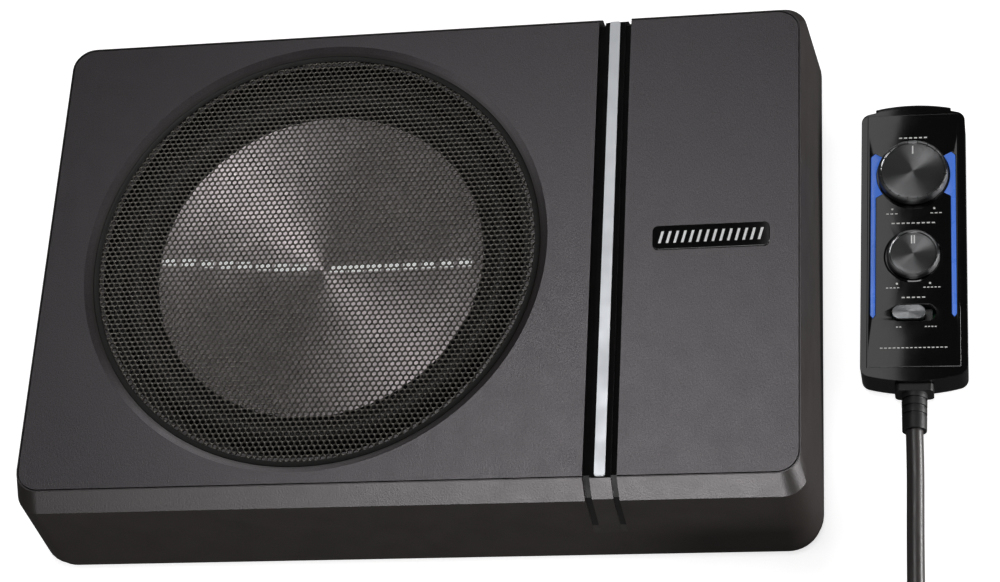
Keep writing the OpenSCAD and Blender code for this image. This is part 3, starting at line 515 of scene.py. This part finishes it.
def cell_places(radius, pitch, cell):
    """Centres of the hexagonal cells that lie on a disc, row by row."""
    row_h = cell * 1.5
    rows = int(radius / row_h) + 1
    for row in range(-rows, rows + 1):
        for column in range(-rows, rows + 1):
            x, y = (column + 0.5 * (row % 2)) * pitch, row * row_h
            if math.hypot(x, y) <= radius - 0.3 * cell:
                yield x, y


def make_grille():
    """A sheet pierced with hexagonal holes, its webs crowned; cells at the edge are cut to the disc."""
    low, high, centre = span("grille")
    radius = (high.x - low.x) / 2 - 0.05 * MM
    pitch = HOLE_PITCH * MM
    cell = pitch / math.sqrt(3)
    hole = (pitch - WEB * MM) / math.sqrt(3)
    crown = 0.36 * MM
    corners = [math.radians(60 * k + 30) for k in range(6)]
    levels = [(cell, high.z)]
    levels += [(mix(cell, hole, part), high.z - crown * part * part) for part in (0.55, 1.0)]
    levels += [(hole, low.z)]
    points, faces = [], []
    for x, y in cell_places(radius, pitch, cell):
        base = len(points)
        for reach, z in levels:
            for a in corners:
                px, py = x + reach * math.cos(a), y + reach * math.sin(a)
                shrink = min(1.0, radius / math.hypot(px, py))
                points.append((centre.x + px * shrink, centre.y + py * shrink, z))
        for level in range(len(levels) - 1):
            upper, lower = base + level * 6, base + (level + 1) * 6
            faces += [(upper + k, upper + (k + 1) % 6, lower + (k + 1) % 6, lower + k) for k in range(6)]
    mesh = bpy.data.meshes.new("pierced_sheet")
    mesh.from_pydata(points, [], faces)
    mesh.update()
    clean(mesh, merge=0.001 * MM, outward=False)
    crisp_smooth(mesh, 40.0)
    add_object("grille_sheet", mesh, "main", "grille_black", stands_for=("grille",))


def make_opening_ring():
    """The thin black ring at the foot of the opening's slope that holds the sheet down; its flange reaches
    in over the cut edge cells, and its extra darkness there is painted shadow.
    """
    _, high, centre = span("grille")
    slope_w, rise, reach, skin = 4.0 * MM, 0.12, 1.9 * MM, 0.3 * MM
    foot_r, foot_z = high.x - centre.x + 0.1 * MM, high.z
    top_r, top_z = foot_r + slope_w, span("speaker_panel")[1].z
    edge_r, edge_z = mix(foot_r, top_r, rise), mix(foot_z, top_z, rise)
    profile = [
        (foot_r, foot_z + 0.02 * MM), (edge_r, edge_z), (edge_r - 0.2 * MM, edge_z + 0.1 * MM),
        (foot_r - 0.3 * MM, foot_z + skin), (foot_r - reach, foot_z + skin * 0.8),
        (foot_r - reach - 0.2 * MM, foot_z + 0.02 * MM),
    ]
    mesh = lathe_mesh("opening_ring", profile, centre, steps=192)
    add_object("opening_ring", mesh, "main", "case_black", RING_BLACK_AND_SHADOW)


CONE_SHEET = 0.8


def cone_height(radius):
    """Height of the cone's upper face at a distance from its centre."""
    low, high, _ = span("cone")
    floor = low.z + CONE_SHEET * MM
    return floor + (high.z - floor) * (radius / (high.x - low.x) * 2) ** 1.25


def make_cone():
    """Shallow spun disc with a turned edge and a rubber bead round it."""
    low, high, centre = span("cone")
    radius = (high.x - low.x) / 2
    rings = 16
    top = [(radius * i / rings, cone_height(radius * i / rings)) for i in range(rings)]
    top.append((radius - 0.15 * MM, high.z - 0.1 * MM))
    bottom = [(r, z - 0.75 * MM) for r, z in reversed(top)]
    mesh = lathe_mesh("cone_disc", top + bottom, centre)
    add_object("cone_disc", mesh, "cone_assembly", "cone_metal", stands_for=("cone",))
    section = [(-1.0, -0.3), (-0.8, 0.15), (-0.2, 0.3), (0.3, 0.0), (0.3, -0.9), (-0.05, -0.9),
               (-0.05, -0.2)]
    bead = [(radius + out * MM, high.z + up * MM) for out, up in section]
    add_object("cone_bead", lathe_mesh("cone_bead", bead, centre), "cone_assembly", "rubber_black")


def make_cone_dashes():
    """A plain row of dashes across the cone on each side of its centre."""
    meshes = []
    dashes, dash_w, dash_h, pitch, first = 8, 7.4, 3.6, 8.6, 8.9
    tilt = math.radians(-2.6)
    shift_x, shift_y = -2 * MM, 1.3 * MM
    for side in (-1, 1):
        for i in range(dashes):
            along = side * (first + i * pitch) * MM
            x = DRIVER_AXIS.x + along * math.cos(tilt) + shift_x
            y = along * math.sin(tilt) + shift_y
            z = cone_height(math.hypot(x - DRIVER_AXIS.x, y))
            place = Matrix.Translation((x, y, z)) @ Matrix.Rotation(tilt, 4, "Z")
            outline = box_outline(0, 0, dash_w * MM, dash_h * MM)
            meshes.append(slab_mesh("dash", outline, 0.0, 0.3 * MM, place))
    # The dashes glow: painted sheen on the foil print.
    add_object("cone_dashes", join_meshes("cone_dashes", meshes), "cone_assembly", "cone_metal", FOIL_PRINT_PAINTED_SHEEN)


def add_bending(name, mesh, slot, stands_for):
    """A piece between the case and the cone, on no body, with its placing baked into its points."""
    made = add_object(name, mesh, None, None, MATERIALS[slot])
    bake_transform(made)
    if stands_for:
        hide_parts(stands_for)


def add_sectors(node, profile, centre, slot, sectors, steps):
    """A turned ring made in sectors, each a piece of its own."""
    width = math.tau / sectors
    for i in range(sectors):
        name = f"{node}_{i + 1}"
        mesh = lathe_mesh(name, profile, centre, steps=steps, start=i * width, turn=width)
        add_bending(name, mesh, slot, node if i == 0 else None)


SURROUND_SECTORS = 16


def make_surround():
    """The rubber half roll between the basket and the cone."""
    low, high, centre = span("surround")
    outer_r = (high.x - low.x) / 2
    roll_r, mid_r, inner_r, skin = 8.0 * MM, 84.0 * MM, 71.0 * MM, 0.8 * MM
    base = high.z - roll_r
    arc = 14
    turns = [math.pi * i / arc for i in range(arc + 1)]
    over = [(mid_r + roll_r * math.cos(a), base + roll_r * math.sin(a)) for a in turns]
    under = [(mid_r + (roll_r - skin) * math.cos(a), base + (roll_r - skin) * math.sin(a)) for a in turns]
    rim = base + 0.2 * MM
    profile = [(outer_r, rim), (outer_r, rim + skin), (mid_r + roll_r + 0.6 * MM, rim + skin)]
    profile += over[1:-1]
    profile += [(mid_r - roll_r - 0.4 * MM, base + skin), (inner_r, base + skin), (inner_r, base)]
    profile += list(reversed(under))
    add_sectors("surround", profile, centre, "rubber_black", SURROUND_SECTORS, 8)


SPIDER_SECTORS = 8


def make_spider():
    """The corrugated spider between the coil former and the basket's ledge."""
    low, high, centre = span("spider")
    outer_r, inner_r = (high.x - low.x) / 2, 24.9 * MM
    flat_out, flat_in = 6.0 * MM, 2.0 * MM
    waves, samples = 5, 40
    rest, wave_h, cloth = low.z + 0.5 * MM, 0.6 * MM, 0.45 * MM
    top = [(inner_r, rest)]
    for i in range(samples + 1):
        part = i / samples
        radius = mix(inner_r + flat_in, outer_r - flat_out, part)
        top.append((radius, rest + wave_h * (1 - math.cos(math.tau * waves * part)) / 2))
    top.append((outer_r, rest))
    profile = top + [(r, z - cloth) for r, z in reversed(top)]
    add_sectors("spider", profile, centre, "spider_cloth", SPIDER_SECTORS, 10)


def tube_mesh(name, route, radius, sides=10):
    """A round tube through points in metres, with closed ends."""
    points, faces = [], []
    for i, place in enumerate(route):
        before, after = route[max(i - 1, 0)], route[min(i + 1, len(route) - 1)]
        along = (after - before).normalized()
        side = along.cross(Vector((0, 0, 1)) if abs(along.z) < 0.95 else Vector((1, 0, 0))).normalized()
        up = side.cross(along)
        for k in range(sides):
            angle = math.tau * k / sides
            points.append(place + radius * (math.cos(angle) * side + math.sin(angle) * up))
    for i in range(len(route) - 1):
        for k in range(sides):
            n = (k + 1) % sides
            faces.append((i * sides + k, i * sides + n, (i + 1) * sides + n, (i + 1) * sides + k))
    faces.append(tuple(range(sides)))
    faces.append(tuple((len(route) - 1) * sides + k for k in range(sides)))
    return mesh_data(name, points, faces)


def make_tinsel_leads():
    """The flexible leads, which sag a little."""
    high = span("tinsel_leads")[1]
    sag, steps, wire_r = Vector((0, 0, 0.35 * MM)), 20, 0.5 * MM
    for index, side in enumerate((-1, 1)):
        outer = Vector((high.x, side * 6 * MM, 40.6 * MM))
        inner = Vector((DRIVER_AXIS.x + 26.6 * MM, side * 2 * MM, 36.1 * MM))
        route = [outer.lerp(inner, i / steps) - sag * math.sin(math.pi * i / steps)
                 for i in range(steps + 1)]
        name = f"tinsel_lead_{index + 1}"
        mesh = tube_mesh(name, route, wire_r)
        add_bending(name, mesh, "copper", "tinsel_leads" if index == 0 else None)


make_grille()
make_opening_ring()
make_cone()
make_cone_dashes()
make_surround()
make_spider()
make_tinsel_leads()


# ---------------------------------------------------------------- painted groove shade


def ribbon_mesh(x, width, path, skin):
    """A thin ribbon of the given width whose (y, z) places follow a path."""
    points = []
    for lift in (0.0, skin):
        points += [(x + side * width / 2, y, z + lift) for y, z in path for side in (-1, 1)]
    count = len(path)
    faces = []
    for layer in (0, 2 * count):
        faces += [(layer + 2 * i, layer + 2 * i + 1, layer + 2 * i + 3, layer + 2 * i + 2)
                  for i in range(count - 1)]
    for side in (0, 1):
        faces += [(2 * i + side, 2 * i + 2 + side, 2 * count + 2 * i + 2 + side, 2 * count + 2 * i + side)
                  for i in range(count - 1)]
    last = 2 * count - 2
    faces += [(0, 1, 2 * count + 1, 2 * count), (last, last + 1, last + 2 * count + 1, last + 2 * count)]
    return mesh_data("ribbon", points, faces, smooth=False)


def make_groove_shade():
    """Painted shade: thin near-black sheets on the groove's rib and in the channel on each side of it,
    standing in for the shade in the recess. A thinner sheet of painted shade follows the channels over the
    bevel and down the wall to where they end."""
    low, high, centre = span("trim_strip")
    rib_w, groove_w, skin = 9.0 * MM, 14.6 * MM, 0.08 * MM
    side_w = (groove_w - rib_w) / 2
    # distance from the middle and height of the channel's floor: where the deck ends, then down the slope
    deck = (109.3 * MM, high.z - 2.4 * MM)
    slope = [deck] + [(y * MM, z * MM) for y, z in ((115.6, 48.7), (117.4, 41.0), (120.2, 29.0))]
    rib = box_outline(centre.x, 0, rib_w - 0.1 * MM, high.y - low.y)
    shade_sheets = [slab_mesh("shade_sheet", rib, low.z, low.z + skin)]
    fade_sheets = []
    for side in (-1, 1):
        x = centre.x + side * (rib_w + side_w) / 2
        shade_sheets.append(ribbon_mesh(x, side_w - 0.1 * MM, [(-deck[0], deck[1]), deck], skin))
        for end in (-1, 1):
            path = [(end * y, z) for y, z in slope]
            fade_sheets.append(ribbon_mesh(x, side_w - 0.3 * MM, path, skin))
    add_object("groove_shade", join_meshes("groove_shade", shade_sheets), "main", "case_black", GROOVE_SHADE_BLACK)
    add_object("groove_shade_ends", join_meshes("groove_shade_ends", fade_sheets), "main", "case_black", GROOVE_FADE_SHADE)


make_groove_shade()


# ---------------------------------------------------------------- name plate


def rounded_outline(x, y, w, d, r, steps=6):
    """A rectangle with rounded corners, from its centre, size and corner radius."""
    points = []
    for cx, cy, first in ((x + w / 2 - r, y + d / 2 - r, 0), (x - w / 2 + r, y + d / 2 - r, 90),
                          (x - w / 2 + r, y - d / 2 + r, 180), (x + w / 2 - r, y - d / 2 + r, 270)):
        for i in range(steps + 1):
            angle = math.radians(first + 90 * i / steps)
            points.append((cx + r * math.cos(angle), cy + r * math.sin(angle)))
    return points


def make_badge():
    """The black name plate, with a plain row of slanted bars in place of a name."""
    low, high, centre = span("badge_plate")
    w, d = high.x - low.x, high.y - low.y
    outline = rounded_outline(centre.x, centre.y, w, d, 2.5 * MM)
    plate = slab_mesh("badge", outline, low.z, high.z - 0.15 * MM)
    made = add_object("badge_face", plate, "main", "gloss_black", stands_for=("badge_plate",))
    soften(made, 0.25)
    bars = []
    count, bar_w, bar_h, slant, pitch = 14, 1.1 * MM, 5.6 * MM, 1.4 * MM, 3.3 * MM
    front, back = centre.y - bar_h / 2, centre.y + bar_h / 2
    for i in range(count):
        x = centre.x + (i - (count - 1) / 2) * pitch
        left, right = x - bar_w / 2, x + bar_w / 2
        outline = [(left - slant / 2, front), (right - slant / 2, front),
                   (right + slant / 2, back), (left + slant / 2, back)]
        bars.append(slab_mesh("bar", outline, high.z - 0.2 * MM, high.z))
    add_object("badge_bars", join_meshes("badge_bars", bars), "main", "gloss_black", WHITE_ENAMEL)


make_badge()


# ---------------------------------------------------------------- connector side

JACK_Z = 28.0 * MM


def make_jack_rings():
    """White and red rings round the two signal sockets."""
    face = span("connector_panel")[1].y
    low, high, _ = span("rca_jacks")
    edge = 6 * MM
    profile = [(r * MM, z * MM) for r, z in ((4.2, 0.0), (5.6, 0.0), (5.6, 1.2), (5.2, 1.6), (4.2, 1.6))]
    outwards = Matrix.Rotation(math.radians(-90), 4, "X")
    for name, x, material in (("left", high.x - edge, WHITE_ENAMEL), ("right", low.x + edge, PIN_RED)):
        mesh = lathe_mesh("jack_ring", profile, Vector((0, 0, 0)), steps=64)
        mesh.transform(Matrix.Translation((x, face, JACK_Z)) @ outwards)
        add_object(f"jack_ring_{name}", mesh, "main", "brass", material)


def remote_contacts():
    """Six flat contacts under the ceiling of the remote's socket."""
    _, high, centre = span("remote_jack")
    count, pitch, contact_w, contact_l = 6, 1.1 * MM, 0.5 * MM, 10 * MM
    ceiling, back = high.z - 1.1 * MM, high.y - 13.0 * MM
    rows = [centre.x + (i - (count - 1) / 2) * pitch for i in range(count)]
    return [slab_mesh("contact", box_outline(x, back + contact_l / 2, contact_w, contact_l),
                      ceiling - 0.9 * MM, ceiling - 0.5 * MM) for x in rows]


def speaker_pins():
    """Four square pins inside the speaker-level socket."""
    _, high, centre = span("speaker_socket")
    apart, pin_w, pin_l = 2.6 * MM, 1.2 * MM, 7 * MM
    middle_z, back = high.z - 7.0 * MM, high.y - 9.9 * MM
    pins = []
    for x in (centre.x - apart, centre.x + apart):
        for z in (middle_z - apart, middle_z + apart):
            outline = box_outline(x, back + pin_l / 2, pin_w, pin_l)
            pins.append(slab_mesh("pin", outline, z - pin_w / 2, z + pin_w / 2))
    return pins


def make_socket_contacts():
    contacts = join_meshes("socket_contacts", remote_contacts() + speaker_pins())
    add_object("socket_contacts", contacts, "main", "brass", GOLD)


make_jack_rings()
make_socket_contacts()


# ---------------------------------------------------------------- remote control

REMOTE_YAW = math.radians(-1)
REMOTE_CENTRE = span("remote_base")[2]
REMOTE = Matrix.Translation((REMOTE_CENTRE.x, REMOTE_CENTRE.y, 0)) @ Matrix.Rotation(REMOTE_YAW, 4, "Z")
FACE_TOP = span("remote_face")[1].z


def on_remote(node):
    """Centre of a CAD node in the remote's own frame."""
    return REMOTE.inverted() @ span(node)[2]


def make_knob(node, body, ticks, bars):
    """A dished knob of dark spun metal with a raised rim, edge marks and a pointer."""
    low, high, centre = span(node)
    radius = (high.x - low.x) / 2
    top = high.z
    bore_r, bore_h = 3.1 * MM, 1.8 * MM
    rim = [(0.0, -1.1), (-0.2, -0.4), (-0.8, 0.0), (-1.3, -0.05), (-1.7, -0.5)]
    profile = [(bore_r, low.z), (radius - 0.3 * MM, low.z), (radius, low.z + 0.4 * MM)]
    profile += [(radius + out * MM, top + up * MM) for out, up in rim]
    dish = 8
    for i in range(dish + 1):
        part = i / dish
        profile.append(((radius - 2.2 * MM) * (1 - part), top - (0.45 + 0.35 * ease(part)) * MM))
    profile.append((0.0, low.z + bore_h))
    profile.append((bore_r, low.z + bore_h))
    name = node + "_turned"
    add_object(name, lathe_mesh(name, profile, centre, steps=96), body, "knob_metal", stands_for=(node,))
    marks = []
    for i in range(ticks):
        angle = math.tau * (i + 0.5) / ticks
        place = Matrix.Translation((centre.x, centre.y, 0)) @ Matrix.Rotation(angle + REMOTE_YAW, 4, "Z")
        outline = box_outline(radius - 1.2 * MM, 0, 1.7 * MM, 0.35 * MM)
        marks.append(slab_mesh("mark", outline, top - 0.3 * MM, top + 0.06 * MM, place))
    if marks:
        add_object(node + "_marks", join_meshes(node + "_marks", marks), body, "knob_metal", DARK_LINE)
    pointer = []
    frame_at = Matrix.Translation((centre.x, centre.y, 0)) @ Matrix.Rotation(REMOTE_YAW, 4, "Z")
    for x in bars:
        outline = box_outline(x * MM, radius - 4.9 * MM, 0.6 * MM, 3.9 * MM)
        pointer.append(slab_mesh("pointer", outline, top - 0.9 * MM, top - 0.38 * MM, frame_at))
    add_object(node + "_pointer", join_meshes(node + "_pointer", pointer), body, "knob_metal", LIGHT_INK)


def make_face_marks():
    """Dots at the ends of each knob's turn, and rows of plain dashes where the labels stand."""
    ink = []
    volume, frequency = on_remote("volume_knob"), on_remote("frequency_knob")
    phase = on_remote("phase_switch")
    dot_r, sink = 0.5 * MM, 0.1 * MM
    around = [math.tau * i / 12 for i in range(12)]
    for knob, across, below in ((volume, 9.2, 17.2), (frequency, 7.2, 13.4)):
        for side in (-1, 1):
            x, y = knob.x + side * across * MM, knob.y - below * MM
            outline = [(x + dot_r * math.cos(a), y + dot_r * math.sin(a)) for a in around]
            ink.append(slab_mesh("dot", outline, FACE_TOP - sink, FACE_TOP + 0.05 * MM, REMOTE))
    rows = [
        (0, volume.y + 18.9 * MM, 6, 2.2, 1.4), (-9.4, volume.y - 19.5 * MM, 3, 1.9, 1.0),
        (10, volume.y - 19.5 * MM, 3, 1.9, 1.0), (0, volume.y - 24.3 * MM, 9, 2.2, 1.4),
        (-9, frequency.y - 15.4 * MM, 4, 1.6, 1.0), (8, frequency.y - 15.4 * MM, 5, 1.6, 1.0),
        (0, frequency.y - 20.2 * MM, 5, 2.2, 1.4), (-6.4, phase.y - 6.8 * MM, 2, 1.4, 1.0),
        (7.4, phase.y - 6.8 * MM, 4, 1.4, 1.0), (0, phase.y - 16.8 * MM, 16, 1.85, 1.0),
    ]
    for x, y, count, pitch, height in rows:
        for i in range(count):
            at = (x + (i - (count - 1) / 2) * pitch) * MM
            outline = box_outline(at, y, pitch * 0.62 * MM, height * 0.45 * MM)
            ink.append(slab_mesh("dash", outline, FACE_TOP - sink, FACE_TOP + 0.04 * MM, REMOTE))
    add_object("face_marks", join_meshes("face_marks", ink), "main", "gloss_black", LIGHT_INK)


def make_knob_ring():
    """The thin raised ring round the frequency knob."""
    low, high, centre = span("frequency_knob")
    radius = (high.x - low.x) / 2
    section = [(0.6, -0.2), (1.4, -0.2), (1.3, 0.45), (0.8, 0.6), (0.6, 0.4)]
    profile = [(radius + out * MM, FACE_TOP + up * MM) for out, up in section]
    mesh = lathe_mesh("frequency_ring", profile, centre, steps=96)
    add_object("frequency_ring", mesh, "main", "gloss_black")


make_knob("volume_knob", "volume_control", 20, (0.0,))
make_knob("frequency_knob", "frequency_control", 0, (-0.6, 0.6))
make_face_marks()
make_knob_ring()


# ---------------------------------------------------------------- room and light


def make_floor():
    """A plain pale floor under the object."""
    size, drop = 12.0, 0.2 * MM
    corners = [(x, y, 0) for x, y in box_outline(0, 0, size, size)]
    mesh = mesh_data("floor", corners, [(0, 1, 2, 3)], smooth=False)
    graph = Graph("floor_white")
    graph.colour((0.82, 0.82, 0.82), 0.01, 2.0)
    graph.roughness(0.9, 0.03)
    graph.shader.inputs["Emission Color"].default_value = (1.0, 1.0, 1.0, 1.0)
    graph.shader.inputs["Emission Strength"].default_value = 0.75
    mesh.materials.append(graph.material)
    floor = bpy.data.objects.new("floor", mesh)
    floor.location.z = -drop
    floor.visible_glossy = False
    bpy.context.scene.collection.objects.link(floor)


def add_light(name, place, aim, width, height, brightness):
    """A soft rectangular lamp whose face has the given brightness."""
    data = bpy.data.lights.new(name, "AREA")
    data.shape = "RECTANGLE"
    data.size = width
    data.size_y = height
    data.energy = math.pi * width * height * brightness
    light = bpy.data.objects.new(name, data)
    light.location = place
    light.rotation_euler = (Vector(aim) - Vector(place)).to_track_quat("-Z", "Y").to_euler()
    bpy.context.scene.collection.objects.link(light)


def make_lights():
    """Each lamp has its centre, the point it faces, its width, height and brightness."""
    add_light("softbox_back", (0.08, 0.75, 1.5), (0.08, 0.75, 0.0), 0.125, 0.5, 1.8)
    add_light("panel_key", (-0.16, 0.42, 1.5), (-0.16, 0.42, 0.0), 0.42, 0.36, 9.4)
    add_light("overhead", (0.18, 0.0, 1.5), (0.05, 0.0, 0.0), 0.4, 0.4, 7.0)
    add_light("front", (0.02, -1.9, 0.2), (0.02, 0.0, 0.05), 0.85, 0.45, 19.5)
    add_light("corner", (1.0, -0.35, 0.05), (0.17, -0.12, 0.05), 0.5, 0.1, 45.0)
    add_light("right", (1.6, 0.1, 0.12), (0.17, 0.0, 0.03), 1.0, 0.2, 48.0)
    add_light("left", (-1.8, -0.2, 1.2), (0.0, 0.0, 0.0), 1.5, 1.5, 1.2)
    add_light("back", (-0.2, 2.3, 0.4), (0.0, 0.0, 0.05), 1.8, 0.5, 3.5)


def make_world():
    world = bpy.data.worlds.new("studio")
    world.use_nodes = True
    background = world.node_tree.nodes["Background"]
    background.inputs["Color"].default_value = (1.0, 1.0, 1.0, 1.0)
    background.inputs["Strength"].default_value = 0.05
    bpy.context.scene.world = world
    bpy.context.scene.view_settings.view_transform = "Standard"


make_floor()
make_lights()
make_world()
